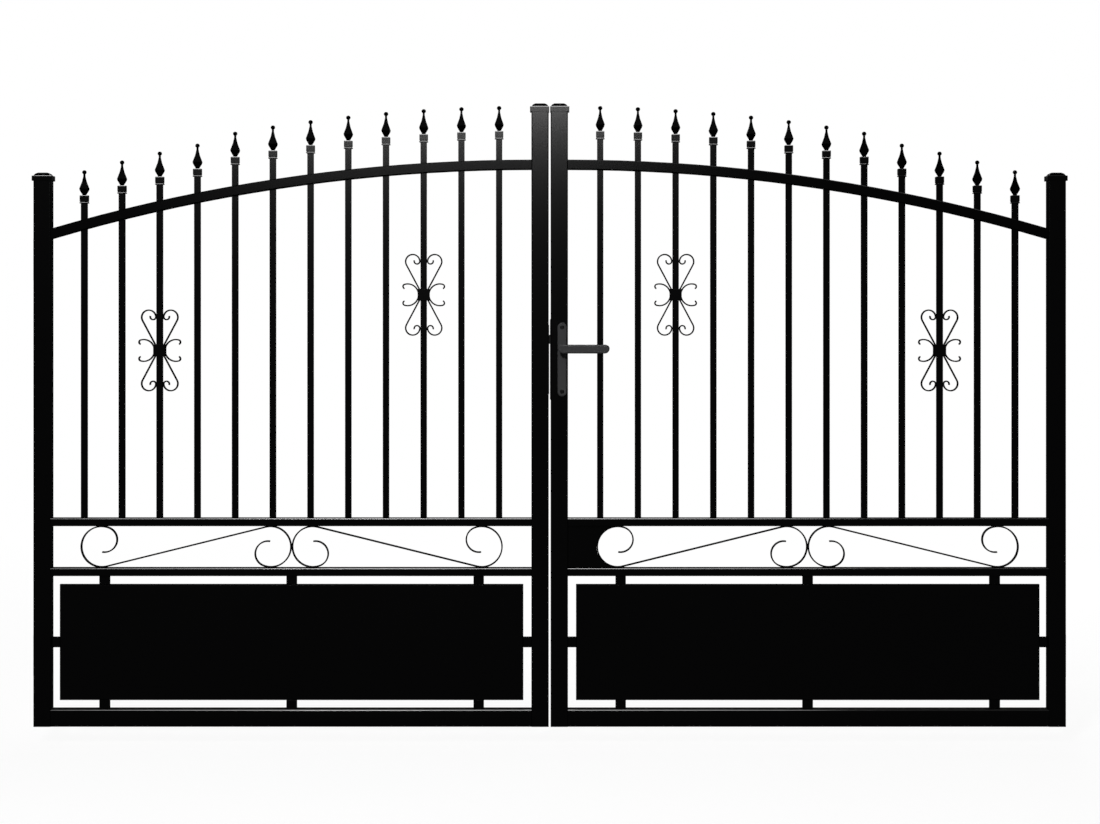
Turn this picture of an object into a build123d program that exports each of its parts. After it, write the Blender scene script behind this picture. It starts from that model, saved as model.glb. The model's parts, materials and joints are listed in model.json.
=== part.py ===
from build123d import *
import math
import os

# Double-leaf swing gate of welded square and flat bar, with an arched top.
# X runs along the gate, +Y is the inner side, +Z is up, all in millimetres.
# The origin is the middle of the wall face of the lower left hinge bracket.

# Opening and running gaps
opening_width = 3000
hinge_gap = 10
leaf_gap = 5.5
seat_gap = 0.15

# Stiles and their caps
stile_size = 50
stile_wall = 2
stile_corner = 3
hinge_stile_height = 1588
meeting_stile_height = 1788
cap_lip = 4
cap_lip_at_gap = 1.5
cap_skirt = 12
cap_plate = 3
cap_edge = 1
cap_dome_base = 49.5
cap_shoulder_size = 41
cap_shoulder_height = 5.5
cap_dome_top = 27
cap_dome_height = 9

# Rails, with heights above the foot of the leaf
rail_depth = 50
rail_wall = 2
rail_corner = 2
bottom_rail_height = 50
bottom_rail_corner = 4
band_rail_height = 22.5
band_bottom_z = 435
band_clear = 121.5

# Arched rail, hung from the tops of the two stiles
arch_rail_height = 28
hinge_stile_over_arch = 150
meeting_stile_over_arch = 151

# Balusters and what they carry
baluster_count = 12
baluster_size = 18
baluster_wall = 1.5
baluster_end_gap = 93.5
short_rise = 47
long_rise = 61
short_rise_count = 4
collar_size = 24
collar_height = 23.5
collar_cover = 3
collar_chamfer = 1
collar_flange_size = 25
collar_flange_height = 3
collar_groove_size = 22
collar_groove_height = 2.5

# Finials: a four-sided spear and a ball, sizes across the flats
spear_foot_size = 8.5
spear_flare_size = 23.6
spear_flare_height = 14
spear_belly_size = 26
spear_belly_height = 19
spear_waist_size = 12.3
spear_waist_height = 39
spear_neck_size = 5.8
spear_neck_height = 55
spear_height = 63
ball_diameter = 13
ball_sides = 8
ball_steps = 5

# Rosettes: a square sleeve with four heart scrolls and two side scrolls
rosette_sleeve_size = 34
rosette_sleeve_height = 34
rosette_bar = 4
rosette_depth = 12
rosette_low_z = 1086
rosette_high_z = 1247
rosette_low_index = 2
rosette_high_index = 9
heart_leg_x = 12
heart_centre_x = 31.75
heart_centre_z = 96
heart_curl_radius = 8.2
heart_curl_start = 6
heart_curl_turn = 204
side_radius = 31.5
side_turn = 106
side_curl_radius = 6.5
side_curl_turn = 144

# S-scrolls in the band
scroll_bar = 4
scroll_depth = 16
scroll_end_gap = 83
scroll_over_turn = 22
scroll_curl_radius = 36.5
scroll_curl_turn = 168
infill_thickness = 3

# Lower panel and its spacers
panel_gap = 25
panel_side_gap = 23.5
panel_thickness = 18
panel_edge_chamfer = 2
spacer_width = 30
spacer_depth = 14
spacer_offset = 541

# Hinges, measured from the middle plane of the leaf
hinge_low_z = 200
hinge_high_z = 1350
hinge_axis_x = 30
hinge_axis_y = 40
pin_radius = 6
pin_clearance = 0.05
pin_overrun = 5
pin_chamfer = 1
lug_radius = 10
lug_thickness = 8
bracket_setback = 30
bracket_width = 80
bracket_height = 120
bracket_thickness = 6
bracket_chamfer = 1.5
bracket_hole_radius = 5.5
bracket_hole_spacing_y = 50
bracket_hole_spacing_z = 90
eye_radius = 11
eye_height = 40
eye_running_gap = 0.3
eye_foot_width = 34
eye_foot_thickness = 5
eye_web = 12

# Lock, handle and strike
lock_z = 1060
lock_plate_corner = 4
faceplate_width = 24
faceplate_height = 232
faceplate_thickness = 2
strike_width = 24
strike_height = 200
strike_thickness = 1.2
bolt_z = 1118
bolt_height = 26
bolt_width = 12
bolt_length = 30
bolt_nose = 2.5
bolt_bevel = 2
bolt_clearance = 0.3
spindle_z = 1090
spindle_size = 8
spindle_x = 33
handle_plate_width = 26
handle_plate_height = 212
handle_plate_thickness = 8
handle_plate_edge = 2
handle_screw_radius = 5
handle_screw_inset = 13.5
neck_radius = 9
neck_length = 38
neck_clearance = 0.05
lever_reach = 136
lever_tail = 12
lever_height = 24
lever_thickness = 12
lever_high_corner = 9
lever_low_corner = 14
lever_edge = 3

# Places that follow from the sizes above
leaf_width = (opening_width - 2 * hinge_gap - leaf_gap) / 2
clear_width = leaf_width - 2 * stile_size
leaf_y = -(bracket_setback + bracket_width / 2)
foot_z = -hinge_low_z
band_top_z = band_bottom_z + band_rail_height + band_clear
baluster_foot_z = band_top_z + band_rail_height
baluster_pitch = (clear_width - 2 * baluster_end_gap) / (baluster_count - 1)
baluster_xs = [stile_size + baluster_end_gap + i * baluster_pitch for i in range(baluster_count)]

# The arch is level at the meeting stile and meets both stiles at set depths
arch_crown_z = meeting_stile_height - meeting_stile_over_arch
arch_rise = arch_crown_z - (hinge_stile_height - hinge_stile_over_arch)
arch_radius = (clear_width**2 + arch_rise**2) / (2 * arch_rise)
arch_centre_x = leaf_width - stile_size
arch_centre_z = arch_crown_z - arch_radius

leaf_front = Plane(origin=(hinge_gap, leaf_y, foot_z), x_dir=(1, 0, 0), z_dir=(0, -1, 0))
leaf_foot = Plane(origin=(hinge_gap, leaf_y, foot_z))
rail_start = Plane(origin=(hinge_gap + stile_size, leaf_y, foot_z), x_dir=(0, 1, 0), z_dir=(1, 0, 0))
leaf_edge = Plane(origin=(hinge_gap + leaf_width, leaf_y, foot_z), x_dir=(0, 1, 0), z_dir=(1, 0, 0))
leaf_middle = Plane.YZ.offset(hinge_gap + leaf_width / 2)
leaf_depth_middle = Plane.XZ.offset(-leaf_y)
gate_centre = Plane.YZ.offset(opening_width / 2)


def arch_top_at(x):
    """Height of the top of the arch rail at x from the outer edge of the leaf."""
    return arch_centre_z + math.sqrt(arch_radius**2 - (arch_centre_x - x) ** 2)


def baluster_top_at(index):
    """Height of the foot of the collar on a baluster."""
    rise = short_rise if index < short_rise_count else long_rise
    return arch_top_at(baluster_xs[index]) + rise


def arch_ends(radius):
    """Ends of an arc of the arch at the inner faces of the two stiles."""
    start_z = arch_centre_z + math.sqrt(radius**2 - (arch_centre_x - stile_size) ** 2)
    return (stile_size, start_z), (arch_centre_x, arch_centre_z + radius)


def on_circle(centre, radius, angle):
    """Point on a circle at an angle in degrees."""
    turn = math.radians(angle)
    return centre[0] + radius * math.cos(turn), centre[1] + radius * math.sin(turn)


def square_tube(size, wall, corner):
    """Section of a square tube, drawn in the sketch that calls it."""
    RectangleRounded(size, size, corner)
    Rectangle(size - 2 * wall, size - 2 * wall, mode=Mode.SUBTRACT)


def rail_tube(height, corner):
    """Section of a rail, drawn in the sketch that calls it."""
    RectangleRounded(rail_depth, height, corner)
    Rectangle(rail_depth - 2 * rail_wall, height - 2 * rail_wall, mode=Mode.SUBTRACT)


# Stiles: upright square tubes, open at the top under their caps
with BuildPart() as left_hinge_stile:
    with BuildSketch(leaf_foot):
        with Locations((stile_size / 2, 0)):
            square_tube(stile_size, stile_wall, stile_corner)
    extrude(amount=hinge_stile_height)

with BuildPart() as plain_meeting_stile:
    with BuildSketch(leaf_foot):
        with Locations((leaf_width - stile_size / 2, 0)):
            square_tube(stile_size, stile_wall, stile_corner)
    extrude(amount=meeting_stile_height)

# The strike pocket is cut through the edge of the left meeting stile
lock_pocket_width = bolt_width + 2 * bolt_clearance
lock_pocket_height = bolt_height + 2 * bolt_clearance
with BuildPart() as left_meeting_stile:
    add(plain_meeting_stile.part)
    with BuildSketch(leaf_edge):
        with Locations((0, bolt_z)):
            Rectangle(lock_pocket_width, lock_pocket_height)
    extrude(amount=-2 * stile_wall, mode=Mode.SUBTRACT)

# The right one is cut for the latch bolt and for the necks of the two levers
lock_edge_x = opening_width / 2 + leaf_gap / 2
lock_edge = Plane(origin=(lock_edge_x, leaf_y, foot_z), x_dir=(0, -1, 0), z_dir=(-1, 0, 0))
lock_axis = Plane(
    origin=(lock_edge_x + spindle_x, leaf_y, foot_z + spindle_z),
    x_dir=(1, 0, 0),
    z_dir=(0, -1, 0),
)
with BuildPart() as right_meeting_stile:
    mirror(left_meeting_stile.part, about=gate_centre)
    with BuildSketch(lock_axis):
        Circle(neck_radius + neck_clearance)
    extrude(amount=stile_size, both=True, mode=Mode.SUBTRACT)

# Caps: a skirt over the tube and a low dome on top, steeper at its shoulder
dome_levels = (
    (0, cap_dome_base),
    (cap_shoulder_height, cap_shoulder_size),
    (cap_dome_height, cap_dome_top),
)
cap_places = (
    (-cap_lip, stile_size + cap_lip, stile_size / 2, hinge_stile_height),
    (
        leaf_width - stile_size - cap_lip,
        leaf_width + cap_lip_at_gap,
        leaf_width - stile_size / 2,
        meeting_stile_height,
    ),
)
with BuildPart() as left_stile_caps:
    for lip_start, lip_end, stile_middle, stile_top in cap_places:
        with BuildSketch(leaf_foot.offset(stile_top - cap_skirt)):
            with Locations(((lip_start + lip_end) / 2, 0)):
                Rectangle(lip_end - lip_start, stile_size + 2 * cap_lip)
        extrude(amount=cap_skirt + cap_plate)
        chamfer(left_stile_caps.faces().sort_by(Axis.Z)[-1].edges(), length=cap_edge)
        with BuildSketch(leaf_foot.offset(stile_top - cap_skirt)):
            with Locations((stile_middle, 0)):
                Rectangle(stile_size + 2 * seat_gap, stile_size + 2 * seat_gap)
        extrude(amount=cap_skirt, mode=Mode.SUBTRACT)
        for dome_pair in zip(dome_levels, dome_levels[1:]):
            for height, size in dome_pair:
                with BuildSketch(leaf_foot.offset(stile_top + cap_plate + height)):
                    with Locations((stile_middle, 0)):
                        Rectangle(size, size)
            loft(ruled=True)

# Straight rails between the stiles
with BuildPart() as left_bottom_rail:
    with BuildSketch(rail_start):
        with Locations((0, bottom_rail_height / 2)):
            rail_tube(bottom_rail_height, bottom_rail_corner)
    extrude(amount=clear_width)

with BuildPart() as left_band_bottom_rail:
    with BuildSketch(rail_start):
        with Locations((0, band_bottom_z + band_rail_height / 2)):
            rail_tube(band_rail_height, rail_corner)
    extrude(amount=clear_width)

with BuildPart() as left_band_top_rail:
    with BuildSketch(rail_start):
        with Locations((0, band_top_z + band_rail_height / 2)):
            rail_tube(band_rail_height, rail_corner)
    extrude(amount=clear_width)

# The arched rail, a bent tube pierced top and bottom by every baluster
arch_bands = (
    (arch_radius, arch_radius - arch_rail_height, rail_depth, Mode.ADD),
    (
        arch_radius - rail_wall,
        arch_radius - arch_rail_height + rail_wall,
        rail_depth - 2 * rail_wall,
        Mode.SUBTRACT,
    ),
)
with BuildPart() as left_arch_rail:
    for top_radius, bottom_radius, depth, how in arch_bands:
        with BuildSketch(leaf_front):
            with BuildLine():
                top = RadiusArc(*arch_ends(top_radius), top_radius)
                bottom = RadiusArc(*arch_ends(bottom_radius), bottom_radius)
                Line(top @ 0, bottom @ 0)
                Line(top @ 1, bottom @ 1)
            make_face()
        extrude(amount=depth / 2, both=True, mode=how)
        if how == Mode.ADD:
            fillet(left_arch_rail.edges().filter_by(GeomType.CIRCLE), radius=rail_corner)
    with BuildSketch(leaf_foot.offset(baluster_foot_z)):
        with Locations([(x, 0) for x in baluster_xs]):
            Rectangle(baluster_size + 2 * seat_gap, baluster_size + 2 * seat_gap)
    extrude(amount=arch_crown_z, mode=Mode.SUBTRACT)

# Balusters stand on the band and end inside their collars
with BuildPart() as left_balusters:
    for index, x in enumerate(baluster_xs):
        with BuildSketch(leaf_foot.offset(baluster_foot_z)):
            with Locations((x, 0)):
                Rectangle(baluster_size, baluster_size)
                inner_size = baluster_size - 2 * baluster_wall
                Rectangle(inner_size, inner_size, mode=Mode.SUBTRACT)
        top_z = baluster_top_at(index) + collar_height - collar_cover
        extrude(amount=top_z - baluster_foot_z)

# Collars: a flange, a groove and a square block, bored for the tube
collar_block_foot = collar_flange_height + collar_groove_height
collar_steps = (
    (0, collar_flange_height, collar_flange_size),
    (collar_flange_height, collar_groove_height, collar_groove_size),
    (collar_block_foot, collar_height - collar_block_foot, collar_size),
)
with BuildPart() as collar:
    for step_foot, step_height, step_size in collar_steps:
        with BuildSketch(Plane.XY.offset(step_foot)):
            Rectangle(step_size, step_size)
        extrude(amount=step_height)
    chamfer(collar.faces().sort_by(Axis.Z)[-1].edges(), length=collar_chamfer)
    with BuildSketch():
        Rectangle(baluster_size + 2 * seat_gap, baluster_size + 2 * seat_gap)
    extrude(amount=collar_height - collar_cover, mode=Mode.SUBTRACT)

collar_places = [
    (hinge_gap + x, leaf_y, foot_z + baluster_top_at(index)) for index, x in enumerate(baluster_xs)
]
with BuildPart() as left_finial_collars:
    with Locations(*collar_places):
        add(collar.part)

# Finials: a four-sided spear, and a ball of eight sides on its neck
spear_levels = (
    (0, spear_foot_size),
    (spear_flare_height, spear_flare_size),
    (spear_belly_height, spear_belly_size),
    (spear_waist_height, spear_waist_size),
    (spear_neck_height, spear_neck_size),
    (spear_height, spear_neck_size),
)
ball_radius = ball_diameter / 2
ball_centre_height = spear_height + ball_radius - spear_neck_size / 2
ball_angles = [(i + 0.5) * 180 / ball_steps - 90 for i in range(ball_steps)]
with BuildPart() as finial:
    for spear_pair in zip(spear_levels, spear_levels[1:]):
        for height, size in spear_pair:
            with BuildSketch(Plane.XY.offset(collar_height + height)):
                Rectangle(size, size)
        loft(ruled=True)
    for ball_pair in zip(ball_angles, ball_angles[1:]):
        for angle in ball_pair:
            half_width, height = on_circle((0, ball_centre_height), ball_radius, angle)
            with BuildSketch(Plane.XY.offset(collar_height + height)):
                RegularPolygon(half_width, ball_sides)
        loft(ruled=True)

with BuildPart() as left_finials:
    with Locations(*collar_places):
        add(finial.part)

# Heart scroll: a straight leg, a wide turn against the baluster, then a curl
heart_radius = heart_centre_x - baluster_size / 2 - rosette_bar / 2 - seat_gap
heart_centre = (-heart_centre_x, heart_centre_z)
leg_start = (-heart_leg_x, rosette_sleeve_height / 2 - rosette_bar / 2)
to_centre = (heart_centre[0] - leg_start[0], heart_centre[1] - leg_start[1])
centre_distance = math.hypot(*to_centre)
leg_length = math.sqrt(centre_distance**2 - heart_radius**2)
leg_angle = math.degrees(math.atan2(to_centre[1], to_centre[0]))
leg_angle += math.degrees(math.asin(heart_radius / centre_distance))
heart_start = leg_angle + 90
heart_curl_centre = on_circle(heart_centre, heart_radius - heart_curl_radius, heart_curl_start)

# Side scroll: an arc let into the sleeve, then a small curl
side_centre = (-(rosette_sleeve_size / 2 + side_radius - rosette_bar / 2), 0)
side_curl_centre = on_circle(side_centre, side_radius - side_curl_radius, side_turn)

with BuildPart() as rosette:
    with BuildSketch(Plane.XZ):
        with BuildLine():
            PolarLine(leg_start, leg_length, leg_angle)
            CenterArc(heart_centre, heart_radius, heart_start, heart_curl_start - heart_start)
            CenterArc(heart_curl_centre, heart_curl_radius, heart_curl_start, -heart_curl_turn)
        trace(line_width=rosette_bar)
    extrude(amount=rosette_depth / 2, both=True)
    with BuildSketch(Plane.XZ):
        with BuildLine():
            CenterArc(side_centre, side_radius, 0, side_turn)
            CenterArc(side_curl_centre, side_curl_radius, side_turn, side_curl_turn)
        trace(line_width=rosette_bar)
    extrude(amount=rosette_depth / 2, both=True)
    mirror(about=Plane.YZ)
    mirror(about=Plane.XY)
    with BuildSketch(Plane.XY.offset(-rosette_sleeve_height / 2)):
        Rectangle(rosette_sleeve_size, rosette_sleeve_size)
    extrude(amount=rosette_sleeve_height)
    with BuildSketch(Plane.XY.offset(-rosette_sleeve_height / 2)):
        Rectangle(baluster_size + 2 * seat_gap, baluster_size + 2 * seat_gap)
    extrude(amount=rosette_sleeve_height, mode=Mode.SUBTRACT)

rosette_places = (
    (hinge_gap + baluster_xs[rosette_low_index], leaf_y, foot_z + rosette_low_z),
    (hinge_gap + baluster_xs[rosette_high_index], leaf_y, foot_z + rosette_high_z),
)
with BuildPart() as left_rosettes:
    with Locations(*rosette_places):
        add(rosette.part)

# S-scrolls: two wide turns joined by a slanting run, each turn ending in a curl
band_middle_z = band_bottom_z + band_rail_height + band_clear / 2
scroll_radius = band_clear / 2 - scroll_bar / 2 - seat_gap
turn_edge = scroll_radius + scroll_bar / 2 + seat_gap
scroll_reach = clear_width / 2 - scroll_end_gap - 2 * turn_edge
scroll_slant = math.degrees(math.asin(2 * scroll_radius / scroll_reach))
outer_turn_x = leaf_width / 2 - turn_edge - scroll_reach
outer_scroll_front = Plane(
    origin=(hinge_gap + outer_turn_x + scroll_reach / 2, leaf_y, foot_z + band_middle_z),
    x_dir=(1, 0, 0),
    z_dir=(0, -1, 0),
)
with BuildPart() as left_outer_scroll:
    with BuildSketch(outer_scroll_front):
        with BuildLine():
            slant_ends = []
            for side in (-1, 1):
                centre = (side * scroll_reach / 2, 0)
                turn_end = -side * 90 - scroll_over_turn
                turn = CenterArc(
                    centre,
                    scroll_radius,
                    scroll_slant + side * 90,
                    -(180 + scroll_slant + scroll_over_turn),
                )
                slant_ends.append(turn @ 0)
                curl_centre = on_circle(centre, scroll_radius - scroll_curl_radius, turn_end)
                CenterArc(curl_centre, scroll_curl_radius, turn_end, -scroll_curl_turn)
            Line(*slant_ends)
        trace(line_width=scroll_bar)
    extrude(amount=scroll_depth / 2, both=True)

with BuildPart() as left_inner_scroll:
    mirror(left_outer_scroll.part, about=leaf_middle)

# Lower panel, held off the frame by short spacers
panel_low_z = bottom_rail_height + panel_gap
panel_high_z = band_bottom_z - panel_gap
panel_height = panel_high_z - panel_low_z
panel_width = clear_width - 2 * panel_side_gap
panel_middle_z = (panel_low_z + panel_high_z) / 2
with BuildPart() as left_panel:
    with BuildSketch(leaf_front):
        with Locations((leaf_width / 2, panel_middle_z)):
            Rectangle(panel_width, panel_height)
    extrude(amount=panel_thickness / 2, both=True)
    chamfer(left_panel.faces().filter_by(Axis.Y).edges(), length=panel_edge_chamfer)

with BuildPart() as left_panel_spacers:
    for x in (-spacer_offset, 0, spacer_offset):
        for z in ((bottom_rail_height + panel_low_z) / 2, (band_bottom_z + panel_high_z) / 2):
            with BuildSketch(leaf_front):
                with Locations((leaf_width / 2 + x, z)):
                    Rectangle(spacer_width, panel_gap)
            extrude(amount=spacer_depth / 2, both=True)
    for x in (stile_size + panel_side_gap / 2, leaf_width - stile_size - panel_side_gap / 2):
        with BuildSketch(leaf_front):
            with Locations((x, panel_middle_z)):
                Rectangle(panel_side_gap, spacer_width)
        extrude(amount=spacer_depth / 2, both=True)

# Hinge brackets: a wall plate, a lug and an upright pin
pin_x = hinge_axis_x
pin_y = leaf_y + hinge_axis_y
with BuildPart() as hinge_bracket:
    with BuildSketch(Plane.YZ):
        Rectangle(bracket_width, bracket_height)
    extrude(amount=bracket_thickness)
    chamfer(hinge_bracket.faces().sort_by(Axis.X)[-1].edges(), length=bracket_chamfer)
    with BuildSketch(Plane.YZ):
        with GridLocations(bracket_hole_spacing_y, bracket_hole_spacing_z, 2, 2):
            Circle(bracket_hole_radius)
    extrude(amount=bracket_thickness, mode=Mode.SUBTRACT)
    lug_root_x = bracket_thickness / 2
    with BuildSketch(Plane.XY.offset(-lug_thickness / 2)):
        with Locations((pin_x, pin_y)):
            Circle(lug_radius)
        with Locations(((lug_root_x + pin_x) / 2, pin_y)):
            Rectangle(pin_x - lug_root_x, 2 * lug_radius)
    extrude(amount=lug_thickness)
    with BuildSketch(Plane.XY.offset(lug_thickness / 2)):
        with Locations((pin_x, pin_y)):
            Circle(pin_radius)
    extrude(amount=eye_running_gap + eye_height + pin_overrun)
    pin_top = hinge_bracket.faces().filter_by(GeomType.PLANE).filter_by(Axis.Z)
    chamfer(pin_top.sort_by(SortBy.AREA)[0].edges(), length=pin_chamfer)

hinge_places = [(0, 0, rise) for rise in (0, hinge_high_z - hinge_low_z)]
with BuildPart() as left_hinge_brackets:
    with Locations(*hinge_places):
        add(hinge_bracket.part)

# Hinge eyes: a bored barrel on a web and a foot against the back of the stile
stile_back_y = leaf_y + stile_size / 2
with BuildPart() as hinge_eye:
    with BuildSketch(Plane.XY.offset(lug_thickness / 2 + eye_running_gap)):
        with Locations((pin_x, pin_y)):
            Circle(eye_radius)
        with Locations((pin_x, (stile_back_y + pin_y) / 2)):
            Rectangle(eye_web, pin_y - stile_back_y)
        with Locations((pin_x, stile_back_y + eye_foot_thickness / 2)):
            Rectangle(eye_foot_width, eye_foot_thickness)
        with Locations((pin_x, pin_y)):
            Circle(pin_radius + pin_clearance, mode=Mode.SUBTRACT)
    extrude(amount=eye_height)

with BuildPart() as left_hinge_eyes:
    with Locations(*hinge_places):
        add(hinge_eye.part)

# Strike plate on the edge of the left meeting stile
with BuildPart() as left_strike_plate:
    with BuildSketch(leaf_edge):
        with Locations((0, lock_z)):
            RectangleRounded(strike_width, strike_height, lock_plate_corner)
        with Locations((0, bolt_z)):
            Rectangle(lock_pocket_width, lock_pocket_height, mode=Mode.SUBTRACT)
    extrude(amount=strike_thickness)

# Lock faceplate, latch bolt and handles on the right meeting stile
with BuildPart() as right_lock_faceplate:
    with BuildSketch(lock_edge):
        with Locations((0, lock_z)):
            RectangleRounded(faceplate_width, faceplate_height, lock_plate_corner)
        with Locations((0, bolt_z)):
            Rectangle(lock_pocket_width, lock_pocket_height, mode=Mode.SUBTRACT)
    extrude(amount=faceplate_thickness)

with BuildPart() as right_latch_bolt:
    with BuildSketch(lock_edge.offset(bolt_nose)):
        with Locations((0, bolt_z)):
            Rectangle(bolt_width, bolt_height)
    extrude(amount=-bolt_length)
    nose = right_latch_bolt.faces().sort_by(Axis.X)[0]
    chamfer(nose.edges().filter_by(Axis.Z), length=bolt_bevel)

stile_face = lock_axis.offset(stile_size / 2)
plate_face = stile_face.offset(handle_plate_thickness)
plate_drop = lock_z - spindle_z
screw_spacing = handle_plate_height - 2 * handle_screw_inset
with BuildPart() as right_front_handle_plate:
    with BuildSketch(stile_face):
        with Locations((0, plate_drop)):
            SlotOverall(handle_plate_height, handle_plate_width, rotation=90)
        Circle(neck_radius + neck_clearance, mode=Mode.SUBTRACT)
    extrude(amount=handle_plate_thickness)
    front_rim = right_front_handle_plate.faces().sort_by(Axis.Y)[0].outer_wire()
    chamfer(front_rim.edges(), length=handle_plate_edge)
    with BuildSketch(plate_face):
        with Locations((0, plate_drop)):
            with GridLocations(1, screw_spacing, 1, 2):
                Circle(handle_screw_radius)
    extrude(amount=-handle_plate_thickness, mode=Mode.SUBTRACT)

with BuildPart() as right_front_lever:
    with BuildSketch(stile_face):
        Circle(neck_radius)
    extrude(amount=handle_plate_thickness + neck_length)
    with BuildSketch(plate_face.offset(neck_length)) as grip:
        with Locations(((lever_reach - lever_tail) / 2, 0)):
            Rectangle(lever_reach + lever_tail, lever_height)
        fillet(grip.vertices().group_by(Axis.Y)[0], radius=lever_low_corner)
        fillet(grip.vertices().group_by(Axis.Y)[-1], radius=lever_high_corner)
    extrude(amount=lever_thickness)
    grip_rim = right_front_lever.faces().sort_by(Axis.Y)[0].outer_wire()
    chamfer(grip_rim.edges(), length=lever_edge)

with BuildPart() as right_spindle:
    with BuildSketch(lock_axis):
        Rectangle(spindle_size, spindle_size)
    extrude(amount=stile_size / 2, both=True)

with BuildPart() as right_back_handle_plate:
    mirror(right_front_handle_plate.part, about=leaf_depth_middle)

with BuildPart() as right_back_lever:
    mirror(right_front_lever.part, about=leaf_depth_middle)

# Thin plate that closes the band between the meeting stile and the first scroll
inner_turn_x = leaf_width - outer_turn_x
infill_end_x = leaf_width - stile_size
with BuildPart() as infill_shape:
    with BuildSketch(leaf_front):
        with Locations(((infill_end_x + inner_turn_x) / 2, band_middle_z)):
            Rectangle(infill_end_x - inner_turn_x, band_clear)
        with Locations((inner_turn_x, band_middle_z)):
            Circle(turn_edge, mode=Mode.SUBTRACT)
    extrude(amount=infill_thickness / 2, both=True)

with BuildPart() as right_band_infill:
    mirror(infill_shape.part, about=gate_centre)

# Names and files: the left leaf, then its mirror image, then the lock side
os.makedirs("parts", exist_ok=True)
left_pieces = {
    "left_hinge_stile": left_hinge_stile,
    "left_stile_caps": left_stile_caps,
    "left_bottom_rail": left_bottom_rail,
    "left_band_bottom_rail": left_band_bottom_rail,
    "left_band_top_rail": left_band_top_rail,
    "left_arch_rail": left_arch_rail,
    "left_balusters": left_balusters,
    "left_finial_collars": left_finial_collars,
    "left_finials": left_finials,
    "left_rosettes": left_rosettes,
    "left_outer_scroll": left_outer_scroll,
    "left_inner_scroll": left_inner_scroll,
    "left_panel": left_panel,
    "left_panel_spacers": left_panel_spacers,
    "left_hinge_brackets": left_hinge_brackets,
    "left_hinge_eyes": left_hinge_eyes,
}
for name, piece in left_pieces.items():
    piece.part.label = name
    export_step(piece.part, f"parts/{name}.step")
    with BuildPart() as mirrored:
        mirror(piece.part, about=gate_centre)
    mirrored.part.label = name.replace("left_", "right_")
    export_step(mirrored.part, f"parts/{mirrored.part.label}.step")

lock_pieces = {
    "left_meeting_stile": left_meeting_stile,
    "left_strike_plate": left_strike_plate,
    "right_meeting_stile": right_meeting_stile,
    "right_lock_faceplate": right_lock_faceplate,
    "right_latch_bolt": right_latch_bolt,
    "right_front_handle_plate": right_front_handle_plate,
    "right_back_handle_plate": right_back_handle_plate,
    "right_front_lever": right_front_lever,
    "right_back_lever": right_back_lever,
    "right_spindle": right_spindle,
    "right_band_infill": right_band_infill,
}
for name, piece in lock_pieces.items():
    piece.part.label = name
    export_step(piece.part, f"parts/{name}.step")
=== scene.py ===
import json
import math

import bmesh
import bpy
from mathutils import Matrix, Vector


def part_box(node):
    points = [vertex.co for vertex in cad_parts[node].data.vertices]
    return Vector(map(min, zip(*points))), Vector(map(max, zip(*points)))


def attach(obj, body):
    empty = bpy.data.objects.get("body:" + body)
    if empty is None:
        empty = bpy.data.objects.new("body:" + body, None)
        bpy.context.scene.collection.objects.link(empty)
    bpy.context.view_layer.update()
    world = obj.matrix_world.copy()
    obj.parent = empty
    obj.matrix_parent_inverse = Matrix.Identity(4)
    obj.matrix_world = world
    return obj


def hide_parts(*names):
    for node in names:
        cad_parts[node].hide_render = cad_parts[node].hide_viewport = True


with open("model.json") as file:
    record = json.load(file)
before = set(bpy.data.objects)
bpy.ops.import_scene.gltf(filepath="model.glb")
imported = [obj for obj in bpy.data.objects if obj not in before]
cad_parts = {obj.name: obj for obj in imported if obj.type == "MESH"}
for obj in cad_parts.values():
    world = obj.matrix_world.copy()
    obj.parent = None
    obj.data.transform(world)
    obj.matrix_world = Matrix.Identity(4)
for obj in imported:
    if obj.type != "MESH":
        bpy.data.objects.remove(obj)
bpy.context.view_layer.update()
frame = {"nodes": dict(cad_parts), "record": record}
nodes = frame["nodes"]

# Places of the gate, in metres
SIDES = ("left", "right")
OPENING = 3.0
GATE_MIDDLE = OPENING / 2
LEAF_GAP = 0.0055
LEAF_Y = -0.070
LEAF_DEPTH = 0.050
FRONT_Y = LEAF_Y - LEAF_DEPTH / 2
FOOT_Z = -0.200
FOOT_CLEARANCE = 0.060
FLOOR_Z = FOOT_Z - FOOT_CLEARANCE
HINGE_LEVELS = (0.0, 1.150)


# Shader nodes

def new_material(name):
    material = bpy.data.materials.new(name)
    material.use_nodes = True
    tree = material.node_tree
    return material, tree, tree.nodes["Principled BSDF"]


def link_noise(tree, scale, detail=2.0):
    coords = tree.nodes.new("ShaderNodeTexCoord")
    noise = tree.nodes.new("ShaderNodeTexNoise")
    noise.inputs["Scale"].default_value = scale
    noise.inputs["Detail"].default_value = detail
    tree.links.new(coords.outputs["Object"], noise.inputs["Vector"])
    return noise.outputs["Fac"]


def map_range(tree, value, from_low, from_high, low=0.0, high=1.0, smooth=False):
    ramp = tree.nodes.new("ShaderNodeMapRange")
    if smooth:
        ramp.interpolation_type = "SMOOTHSTEP"
    ramp.inputs["From Min"].default_value = from_low
    ramp.inputs["From Max"].default_value = from_high
    ramp.inputs["To Min"].default_value = low
    ramp.inputs["To Max"].default_value = high
    tree.links.new(value, ramp.inputs["Value"])
    return ramp.outputs["Result"]


# The usual range of a noise
NOISE_LOW = 0.3
NOISE_HIGH = 0.7


def spread(tree, noise, low, high):
    """Maps the usual range of a noise onto low to high."""
    return map_range(tree, noise, NOISE_LOW, NOISE_HIGH, low, high)


def combine(tree, operation, first, second):
    math_node = tree.nodes.new("ShaderNodeMath")
    math_node.operation = operation
    tree.links.new(first, math_node.inputs[0])
    tree.links.new(second, math_node.inputs[1])
    return math_node.outputs[0]


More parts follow.
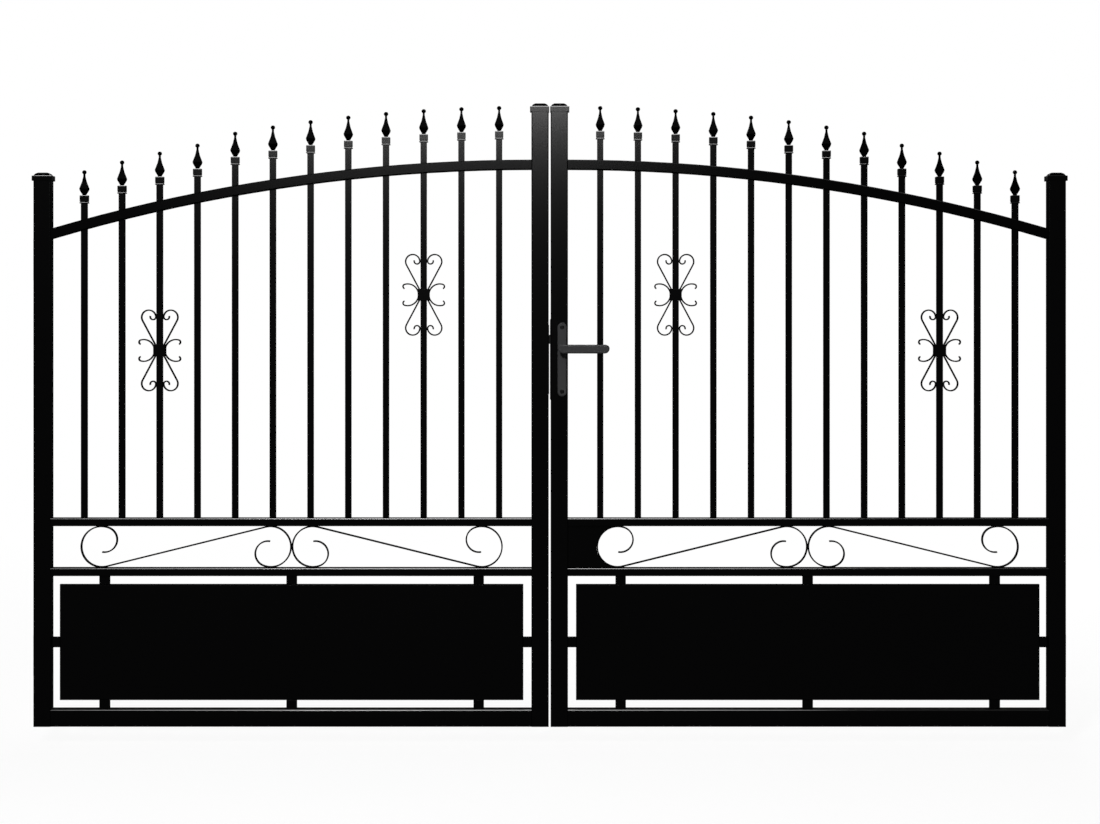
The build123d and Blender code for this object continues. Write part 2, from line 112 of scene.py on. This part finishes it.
def blend_colours(tree, factor, first, second):
    mix = tree.nodes.new("ShaderNodeMix")
    mix.data_type = "RGBA"
    mix.inputs["A"].default_value = (*first, 1)
    mix.inputs["B"].default_value = (*second, 1)
    tree.links.new(factor, mix.inputs["Factor"])
    return mix.outputs["Result"]


def mix_shaders(tree, factor, first, second):
    mix = tree.nodes.new("ShaderNodeMixShader")
    tree.links.new(factor, mix.inputs["Fac"])
    tree.links.new(first, mix.inputs[1])
    tree.links.new(second, mix.inputs[2])
    return mix.outputs["Shader"]


def split_normal(tree, kind="Normal"):
    """The normal of a face, and how far it looks up."""
    geometry = tree.nodes.new("ShaderNodeNewGeometry")
    split = tree.nodes.new("ShaderNodeSeparateXYZ")
    tree.links.new(geometry.outputs[kind], split.inputs["Vector"])
    return geometry.outputs[kind], split.outputs["Z"]


def grey(tone):
    return (tone, tone, tone)


# Materials

CLEAR_COAT_IOR = 4.0
SHEEN_DRIFT = 0.1


def coat(name, dark, light, rough, peel_size, peel_height, specular, gloss=0.0, gloss_rough=0.1):
    """Sprayed coat: a drift in tone, uneven sheen, a fine orange peel and a clear gloss."""
    material, tree, shader = new_material(name)
    drift = link_noise(tree, scale=3.0, detail=4.0)
    tree.links.new(blend_colours(tree, drift, dark, light), shader.inputs["Base Color"])
    sheen = link_noise(tree, scale=60.0, detail=3.0)
    uneven = spread(tree, sheen, rough * (1 - SHEEN_DRIFT), rough * (1 + SHEEN_DRIFT))
    tree.links.new(uneven, shader.inputs["Roughness"])
    bump = tree.nodes.new("ShaderNodeBump")
    bump.inputs["Strength"].default_value = 1.0
    bump.inputs["Distance"].default_value = peel_height
    tree.links.new(link_noise(tree, scale=1 / peel_size), bump.inputs["Height"])
    tree.links.new(bump.outputs["Normal"], shader.inputs["Normal"])
    shader.inputs["Specular IOR Level"].default_value = specular
    shader.inputs["Coat Weight"].default_value = gloss
    shader.inputs["Coat Roughness"].default_value = gloss_rough
    shader.inputs["Coat IOR"].default_value = CLEAR_COAT_IOR
    tree.links.new(bump.outputs["Normal"], shader.inputs["Coat Normal"])
    return material


def bolt_zinc():
    """Zinc plated steel with dull patches."""
    material, tree, shader = new_material("bolt_zinc")
    patches = link_noise(tree, scale=220.0, detail=4.0)
    colour = blend_colours(tree, patches, (0.16, 0.16, 0.155), (0.25, 0.25, 0.245))
    tree.links.new(colour, shader.inputs["Base Color"])
    tree.links.new(spread(tree, patches, 0.42, 0.58), shader.inputs["Roughness"])
    shader.inputs["Metallic"].default_value = 1.0
    return material


def settle_dust_and_painted_sheen(material, dust_and_sheen, least_up, most_up):
    """Mixes a patchy film into the colour of the faces that look up, partly a real dusty film and
    partly a painted sheen that lightens the tops.
    """
    tree = material.node_tree
    shader = tree.nodes["Principled BSDF"]
    clean = shader.inputs["Base Color"].links[0].from_socket
    lean = split_normal(tree)[1]
    up = map_range(tree, lean, least_up, most_up, smooth=True)
    patches = spread(tree, link_noise(tree, scale=45.0, detail=5.0), 0.45, 1.0)
    # Lighter tone on faces that look up: partly a dusty film, partly a painted sheen
    film = tree.nodes.new("ShaderNodeMix")
    film.data_type = "RGBA"
    film.inputs["B"].default_value = (*dust_and_sheen, 1)
    tree.links.new(combine(tree, "MULTIPLY", up, patches), film.inputs["Factor"])
    tree.links.new(clean, film.inputs["A"])
    tree.links.new(film.outputs["Result"], shader.inputs["Base Color"])


def gloss_by_lean(material, stops, normal_kind="Normal"):
    """Sets the gloss by how far a face looks up, in stops of (height of the normal, gloss).

    With the true normal, each flat facet has one even gloss.
    """
    tree = material.node_tree
    normal, lean = split_normal(tree, normal_kind)
    ramp = tree.nodes.new("ShaderNodeValToRGB")
    elements = ramp.color_ramp.elements
    while len(elements) < len(stops):
        elements.new(1.0)
    for element, (position, gloss) in zip(elements, stops):
        element.position = position
        element.color = (*grey(gloss), 1)
    tree.links.new(lean, ramp.inputs["Fac"])
    tree.links.new(ramp.outputs["Color"], tree.nodes["Principled BSDF"].inputs["Coat Weight"])
    if normal_kind == "True Normal":
        tree.links.new(normal, tree.nodes["Bump"].inputs["Normal"])


def gate_coat(name, gloss):
    """Black powder coat of the gate, with a patchy film on its tops that is partly dusty and partly
    a painted sheen.
    """
    material = coat(name, dark=grey(0.0002), light=(0.0004, 0.0004, 0.0005), rough=0.5,
                    peel_size=0.0016, peel_height=0.000002, specular=0.0, gloss=gloss,
                    gloss_rough=0.12)
    # The tops get a lighter tone that is partly a dusty film and partly a painted sheen
    settle_dust_and_painted_sheen(material, dust_and_sheen=(0.012, 0.012, 0.0115), least_up=0.75, most_up=0.95)
    return material


def upper_edge(plain, edge):
    """Stops for a rail: more gloss on its rounded upper edge than on its front and its top."""
    return (0.12, plain), (0.25, edge), (0.85, edge), (0.95, plain)


GLOSS = 0.0040
ARCH_GLOSS = 0.0029
SPEAR_GLOSS = 0.0002
COLLAR_GLOSS = 0.0054
EDGE_GLOSS = 0.055
LOW_EDGE_GLOSS = 0.026
COLLAR_EDGE_GLOSS = 0.075
# A cap is bright on the chamfer of its lip, and a collar on all its chamfers, but not on their tops
CAP_STOPS = ((0.1, GLOSS), (0.3, 0.0), (0.64, 0.0), (0.68, EDGE_GLOSS), (0.74, EDGE_GLOSS),
             (0.78, 0.0))
COLLAR_STOPS = ((0.1, COLLAR_GLOSS), (0.25, COLLAR_EDGE_GLOSS), (0.78, COLLAR_EDGE_GLOSS),
                (0.82, 0.0))
gate_black = gate_coat("gate_black", GLOSS)
arch_black = gate_coat("arch_black", ARCH_GLOSS)
matte_black = gate_coat("matte_black", SPEAR_GLOSS)
rail_black = gate_coat("rail_black", GLOSS)
gloss_by_lean(rail_black, upper_edge(GLOSS, EDGE_GLOSS))
low_rail_black = gate_coat("low_rail_black", GLOSS)
gloss_by_lean(low_rail_black, upper_edge(GLOSS, LOW_EDGE_GLOSS))
cap_black = gate_coat("cap_black", GLOSS)
gloss_by_lean(cap_black, CAP_STOPS, "True Normal")
collar_black = gate_coat("collar_black", COLLAR_GLOSS)
gloss_by_lean(collar_black, COLLAR_STOPS, "True Normal")
handle_grey = coat("handle_grey", dark=(0.032, 0.032, 0.033), light=(0.038, 0.038, 0.039),
                   rough=0.5, peel_size=0.0010, peel_height=0.000008, specular=0.01)
bracket_black = coat("bracket_black", dark=grey(0.003), light=grey(0.006),
                     rough=0.5, peel_size=0.0022, peel_height=0.000020, specular=0.01)
lock_black = coat("lock_black", dark=grey(0.0006), light=grey(0.0012),
                  rough=0.4, peel_size=0.0008, peel_height=0.000004, specular=0.0,
                  gloss=0.006, gloss_rough=0.2)
zinc = bolt_zinc()

by_slot = {
    "black_powder_coat": gate_black,
    "dark_grey_coat": handle_grey,
    "galvanised_steel": bracket_black,
    "blackened_steel": lock_black,
}
by_piece = {
    "bottom_rail": low_rail_black,
    "band_bottom_rail": rail_black,
    "band_top_rail": rail_black,
    "arch_rail": arch_black,
    "stile_caps": cap_black,
}
for part in frame["record"]["subparts"]:
    name = part["node"]
    piece = name.split("_", 1)[1]
    for slot in nodes[name].material_slots:
        slot.material = by_piece.get(piece, by_slot[part["material_slot"]])


# Edges

EDGE_ROUND = 0.0005
WELD_DISTANCE = 0.00002


def round_edges(piece, width, angle=30, segments=2, harden=False):
    bevel = piece.modifiers.new("edge_round", "BEVEL")
    bevel.width = width
    bevel.segments = segments
    bevel.limit_method = "ANGLE"
    bevel.angle_limit = math.radians(angle)
    bevel.harden_normals = harden


# The tubes, plates and levers have their round or chamfered edges from the solids. The caps get
# a flat chamfer, and the other pieces a rounded edge.
SHAPED = ("stile", "rail", "handle_plate", "lever")
for name, node in nodes.items():
    if name.endswith(SHAPED):
        continue
    weld = node.modifiers.new("weld", "WELD")
    weld.merge_threshold = WELD_DISTANCE
    if name.endswith("stile_caps"):
        round_edges(node, EDGE_ROUND, angle=60, segments=1)
    else:
        round_edges(node, EDGE_ROUND, angle=35, harden=True)


# Pieces added to the solids

def add_piece(name, mesh_data, material, body):
    bmesh.ops.recalc_face_normals(mesh_data, faces=mesh_data.faces)
    mesh = bpy.data.meshes.new(name)
    mesh_data.to_mesh(mesh)
    mesh_data.free()
    mesh.materials.append(material)
    piece = bpy.data.objects.new(name, mesh)
    bpy.context.collection.objects.link(piece)
    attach(piece, body)
    return piece


def add_rings(mesh_data, place, rings, smooth=False):
    """Joins rings of points into a closed skin, each ring a list of points."""
    made = [[mesh_data.verts.new(place @ Vector(point)) for point in ring] for ring in rings]
    count = len(made[0])
    for lower, upper in zip(made, made[1:]):
        for i in range(count):
            j = (i + 1) % count
            face = mesh_data.faces.new((lower[i], lower[j], upper[j], upper[i]))
            face.smooth = smooth
    mesh_data.faces.new(made[0][::-1])
    mesh_data.faces.new(made[-1])


def polygon(count, radius, height, turn=0.0):
    """Points of a level regular polygon or circle."""
    angles = [turn + 2 * math.pi * i / count for i in range(count)]
    return [(radius * math.cos(a), radius * math.sin(a), height) for a in angles]


def cut_square(width, cut, height):
    """Points of a level square with its corners cut off."""
    side_at = width / 2
    cut_at = side_at - cut
    corners = ((side_at, -cut_at), (side_at, cut_at), (cut_at, side_at), (-cut_at, side_at),
               (-side_at, cut_at), (-side_at, -cut_at), (-cut_at, -side_at), (cut_at, -side_at))
    return [(x, y, height) for x, y in corners]


# A step in x that is wider than any inside one solid and narrower than the space between two
ROW_SPACE = 0.02


def standing_places(name):
    """Middle in x and foot of each solid of a node whose solids stand in a row."""
    points = sorted((vertex.co.x, vertex.co.z) for vertex in nodes[name].data.vertices)
    groups = [[points[0]]]
    for point in points[1:]:
        if point[0] - groups[-1][-1][0] > ROW_SPACE:
            groups.append([])
        groups[-1].append(point)
    return [((group[0][0] + group[-1][0]) / 2, min(z for _, z in group)) for group in groups]


# Collars: the flange, groove and block of the solids, with finely cut edges, as (height, width)
COLLAR = ((0, 0.0242), (0.0004, 0.0250), (0.0023, 0.0250), (0.0027, 0.0247), (0.0030, 0.0240),
          (0.0030, 0.0220), (0.0055, 0.0220), (0.0055, 0.0234), (0.0058, 0.0240),
          (0.0220, 0.0240), (0.0226, 0.0236), (0.0235, 0.0220))
COLLAR_CUT = 0.0005
for side in SIDES:
    plain_collars = side + "_finial_collars"
    mesh_data = bmesh.new()
    for x, foot in standing_places(plain_collars):
        add_rings(mesh_data, Matrix.Translation((x, LEAF_Y, foot)),
                  [cut_square(width, COLLAR_CUT, height) for height, width in COLLAR])
    collars = add_piece(side + "_chamfered_collars", mesh_data, collar_black, side + "_leaf")
    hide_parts(plain_collars)

# Finials: a spear with crisp edges, as (height, width across its flats), and a ball on its neck
SPEAR = ((0, 0.0085), (0.014, 0.0236), (0.019, 0.0260), (0.039, 0.0123), (0.055, 0.0058),
         (0.062, 0.0058))
SPEAR_EDGE = 0.0004
CORNER_SHARE = math.sqrt(0.5)
BALL_RADIUS = 0.0065
BALL_CENTRE = 0.0666
BALL_SQUASH = 0.95
BALL_STEPS = 12
BALL_SIDES = 24
spear_rings = [polygon(4, width * CORNER_SHARE, height, math.pi / 4) for height, width in SPEAR]
ball_angles = [math.pi * i / BALL_STEPS - math.pi / 2 for i in range(1, BALL_STEPS)]
ball_rings = [polygon(BALL_SIDES, BALL_RADIUS * math.cos(a),
                      BALL_CENTRE + BALL_RADIUS * math.sin(a) * BALL_SQUASH)
              for a in ball_angles]
for side in SIDES:
    plain_finials = side + "_finials"
    mesh_data = bmesh.new()
    for x, foot in standing_places(plain_finials):
        place = Matrix.Translation((x, LEAF_Y, foot))
        add_rings(mesh_data, place, spear_rings)
        add_rings(mesh_data, place, ball_rings, smooth=True)
    finials = add_piece(side + "_round_finials", mesh_data, matte_black, side + "_leaf")
    round_edges(finials, SPEAR_EDGE)
    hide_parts(plain_finials)

# Latch bolt: a bevelled nose that spans the gap and enters the strike pocket
BOLT_REACH = 0.0080
BOLT_BEVEL = 0.0035
low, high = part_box("right_latch_bolt")
bolt_tip = OPENING / 2 + LEAF_GAP / 2 - BOLT_REACH
bolt_outline = (
    (high.x, low.y),
    (bolt_tip + BOLT_BEVEL, low.y),
    (bolt_tip, low.y + 2 * BOLT_BEVEL),
    (bolt_tip, high.y),
    (high.x, high.y),
)
mesh_data = bmesh.new()
add_rings(mesh_data, Matrix.Identity(4),
          [[(x, y, z) for x, y in bolt_outline] for z in (low.z, high.z)])
bolt = add_piece("bevelled_latch_bolt", mesh_data, lock_black, "latch")
round_edges(bolt, EDGE_ROUND)
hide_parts("right_latch_bolt")

# Screws in the handle plates: a cup washer, as (radius, height), and in it a head with a
# hexagon socket
CUP = ((0.0060, 0.0), (0.0059, 0.0003), (0.0054, 0.0006), (0.0049, 0.0004),
       (0.0042, -0.0006), (0.0040, -0.0008), (0.0034, -0.0005))
SHANK_RADIUS = 0.0046
SHANK_DEPTH = 0.0060
SOCKET_RADIUS = 0.0022
SOCKET_DEPTH = 0.0026
SCREW_SIDES = 24
SCREW_INSET = 0.0135
HEXAGON = 6


def screw_rings():
    """Rings from the buried end of the shank, over the cup, to the floor of the socket."""
    rings = [polygon(SCREW_SIDES, SHANK_RADIUS, height) for height in (-SHANK_DEPTH, 0.0)]
    rings += [polygon(SCREW_SIDES, radius, height) for radius, height in CUP]
    socket = [Vector(point) for point in polygon(HEXAGON, SOCKET_RADIUS, CUP[-1][1])]
    per_side = SCREW_SIDES // HEXAGON
    rim = []
    for start, end in zip(socket, socket[1:] + socket[:1]):
        rim += [tuple(start.lerp(end, i / per_side)) for i in range(per_side)]
    return rings + [rim, [(x, y, z - SOCKET_DEPTH) for x, y, z in rim]]


for side, facing in (("front", 1), ("back", -1)):
    low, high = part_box(f"right_{side}_handle_plate")
    middle_x = (low.x + high.x) / 2
    face_y = low.y if facing == 1 else high.y
    mesh_data = bmesh.new()
    for z in (low.z + SCREW_INSET, high.z - SCREW_INSET):
        place = Matrix.Translation((middle_x, face_y, z))
        place @= Matrix.Rotation(facing * math.pi / 2, 4, "X")
        add_rings(mesh_data, place, screw_rings())
    add_piece(f"{side}_plate_screws", mesh_data, lock_black, "right_leaf")

# Anchor bolts of the hinge brackets: a washer and a chamfered hexagon head, as (height, radius)
BOLT_SPREAD_Y = 0.025
BOLT_SPREAD_Z = 0.045
BRACKET_FACE = 0.006
WASHER_SIDES = 32
WASHER = ((0.0, 0.0098), (0.0002, 0.0100), (0.0018, 0.0100), (0.0020, 0.0098))
HEAD = ((0.0020, 0.0092), (0.0075, 0.0092), (0.0084, 0.0080))
for side, wall_x, inward in (("left", 0.0, 1), ("right", OPENING, -1)):
    mesh_data = bmesh.new()
    for level in HINGE_LEVELS:
        for y in (-BOLT_SPREAD_Y, BOLT_SPREAD_Y):
            for z in (-BOLT_SPREAD_Z, BOLT_SPREAD_Z):
                place = Matrix.Translation((wall_x + inward * BRACKET_FACE, y, level + z))
                place @= Matrix.Rotation(inward * math.pi / 2, 4, "Y")
                for sides, profile in ((WASHER_SIDES, WASHER), (HEXAGON, HEAD)):
                    add_rings(mesh_data, place,
                              [polygon(sides, radius, height) for height, radius in profile])
    add_piece(side + "_anchor_bolts", mesh_data, zinc, "hinge_brackets")


# Floor: white to the camera, whiter with distance, and darker only in the gate's shadow

def seen_rays(tree):
    """1 for what the camera sees, straight, mirrored or through a gap, and 0 for bounced light."""
    path = tree.nodes.new("ShaderNodeLightPath")
    mirrored = combine(tree, "MAXIMUM", path.outputs["Is Camera Ray"],
                       path.outputs["Is Glossy Ray"])
    return combine(tree, "MAXIMUM", mirrored, path.outputs["Is Transmission Ray"])


FLOOR_REACH = 40.0
FLOOR_SEEN = grey(0.94)
FLOOR_BOUNCE = grey(0.14)
GLOW_NEAR = 0.90
GLOW_FAR = 1.0
GLOW_FROM = 2.0
GLOW_TO = 8.0
floor_mesh = bpy.data.meshes.new("floor")
floor_mesh.from_pydata(
    [(x * FLOOR_REACH, y * FLOOR_REACH, FLOOR_Z) for x, y in ((-1, -1), (1, -1), (1, 1), (-1, 1))],
    [], [(0, 1, 2, 3)])
floor = bpy.data.objects.new("floor", floor_mesh)
bpy.context.collection.objects.link(floor)
floor_material, tree, shader = new_material("pale_floor")
tone = blend_colours(tree, seen_rays(tree), FLOOR_BOUNCE, FLOOR_SEEN)
tree.links.new(tone, shader.inputs["Base Color"])
shader.inputs["Roughness"].default_value = 0.9
shader.inputs["Specular IOR Level"].default_value = 0.0
glow = tree.nodes.new("ShaderNodeEmission")
glow.inputs["Strength"].default_value = 1.0
coords = tree.nodes.new("ShaderNodeTexCoord")
away = tree.nodes.new("ShaderNodeVectorMath")
away.operation = "DISTANCE"
away.inputs[1].default_value = (GATE_MIDDLE, 0.0, FLOOR_Z)
tree.links.new(coords.outputs["Object"], away.inputs[0])
fade = map_range(tree, away.outputs["Value"], GLOW_FROM, GLOW_TO, GLOW_NEAR, GLOW_FAR, smooth=True)
surface = mix_shaders(tree, combine(tree, "MULTIPLY", seen_rays(tree), fade),
                      shader.outputs["BSDF"], glow.outputs["Emission"])
tree.links.new(surface, tree.nodes["Material Output"].inputs["Surface"])
floor_mesh.materials.append(floor_material)

# World: white where it is seen or mirrored, softer as a light
ROOM_LIGHT = 0.09
ROOM_SEEN = 1.0
world = bpy.data.worlds.new("studio")
bpy.context.scene.world = world
world.use_nodes = True
tree = world.node_tree
room = tree.nodes["Background"]
white = tree.nodes.new("ShaderNodeBackground")
for background, strength in ((room, ROOM_LIGHT), (white, ROOM_SEEN)):
    background.inputs["Color"].default_value = (1, 1, 1, 1)
    background.inputs["Strength"].default_value = strength
surface = mix_shaders(tree, seen_rays(tree), room.outputs["Background"],
                      white.outputs["Background"])
tree.links.new(surface, tree.nodes["World Output"].inputs["Surface"])


# Lights

def area_light(name, place, aim, size, watts, shape="RECTANGLE", only_gloss=False):
    data = bpy.data.lights.new(name, "AREA")
    data.shape = shape
    data.size, data.size_y = size
    data.energy = watts
    lamp = bpy.data.objects.new(name, data)
    bpy.context.collection.objects.link(lamp)
    lamp.location = place
    lamp.rotation_euler = (Vector(aim) - Vector(place)).to_track_quat("-Z", "Y").to_euler()
    lamp.visible_camera = False
    lamp.visible_diffuse = not only_gloss


# Cards that only show as gloss: the sheen down the front faces, and the lines along the edges
area_light("far_card", place=(0.33, -20.1, 3.62), aim=(1.2, FRONT_Y, 1.5),
           size=(4.2, 0.7), watts=2200, only_gloss=True)
area_light("front_card", place=(0.975, -2.4, 3.7), aim=(1.0, FRONT_Y, 0.4),
           size=(3.6, 4.0), watts=1420, shape="ELLIPSE", only_gloss=True)
area_light("ceiling_card", place=(0.95, 0.2, 5.3), aim=(0.95, 0.2, 1.5),
           size=(3.4, 2.0), watts=670, shape="ELLIPSE", only_gloss=True)
area_light("rear_card", place=(1.9, 2.3, 3.7), aim=(1.9, 0.0, 0.4),
           size=(3.6, 4.0), watts=700, shape="ELLIPSE", only_gloss=True)

# Soft lamps
area_light("key_softbox", place=(0.3, -8.1, 3.5), aim=(1.5, FRONT_Y, 0.9),
           size=(0.8, 0.8), watts=600)
area_light("top_softbox", place=(GATE_MIDDLE, LEAF_Y, 5.5), aim=(GATE_MIDDLE, LEAF_Y, 0.0),
           size=(3.0, 3.0), watts=120)
area_light("back_softbox", place=(2.6, 7.0, 3.2), aim=(GATE_MIDDLE, 0.0, 0.8),
           size=(3.0, 3.0), watts=350)

# Camera, level with the gate's upper half
CAMERA_DISTANCE = 8.0
CAMERA_RISE = 1.18
LENS_MM = 90.75
SENSOR_MM = 36
SHIFT_X = 0.0003
SHIFT_Y = -0.0855
camera_data = bpy.data.cameras.new("camera")
camera = bpy.data.objects.new("camera", camera_data)
bpy.context.collection.objects.link(camera)
camera.location = (GATE_MIDDLE, FRONT_Y - CAMERA_DISTANCE, FOOT_Z + CAMERA_RISE)
camera.rotation_euler = (math.radians(90), 0, 0)
camera_data.lens = LENS_MM
camera_data.sensor_width = SENSOR_MM
camera_data.shift_x = SHIFT_X
camera_data.shift_y = SHIFT_Y
camera_data.clip_end = 100
bpy.context.scene.camera = camera
bpy.context.scene.view_settings.view_transform = "Standard"
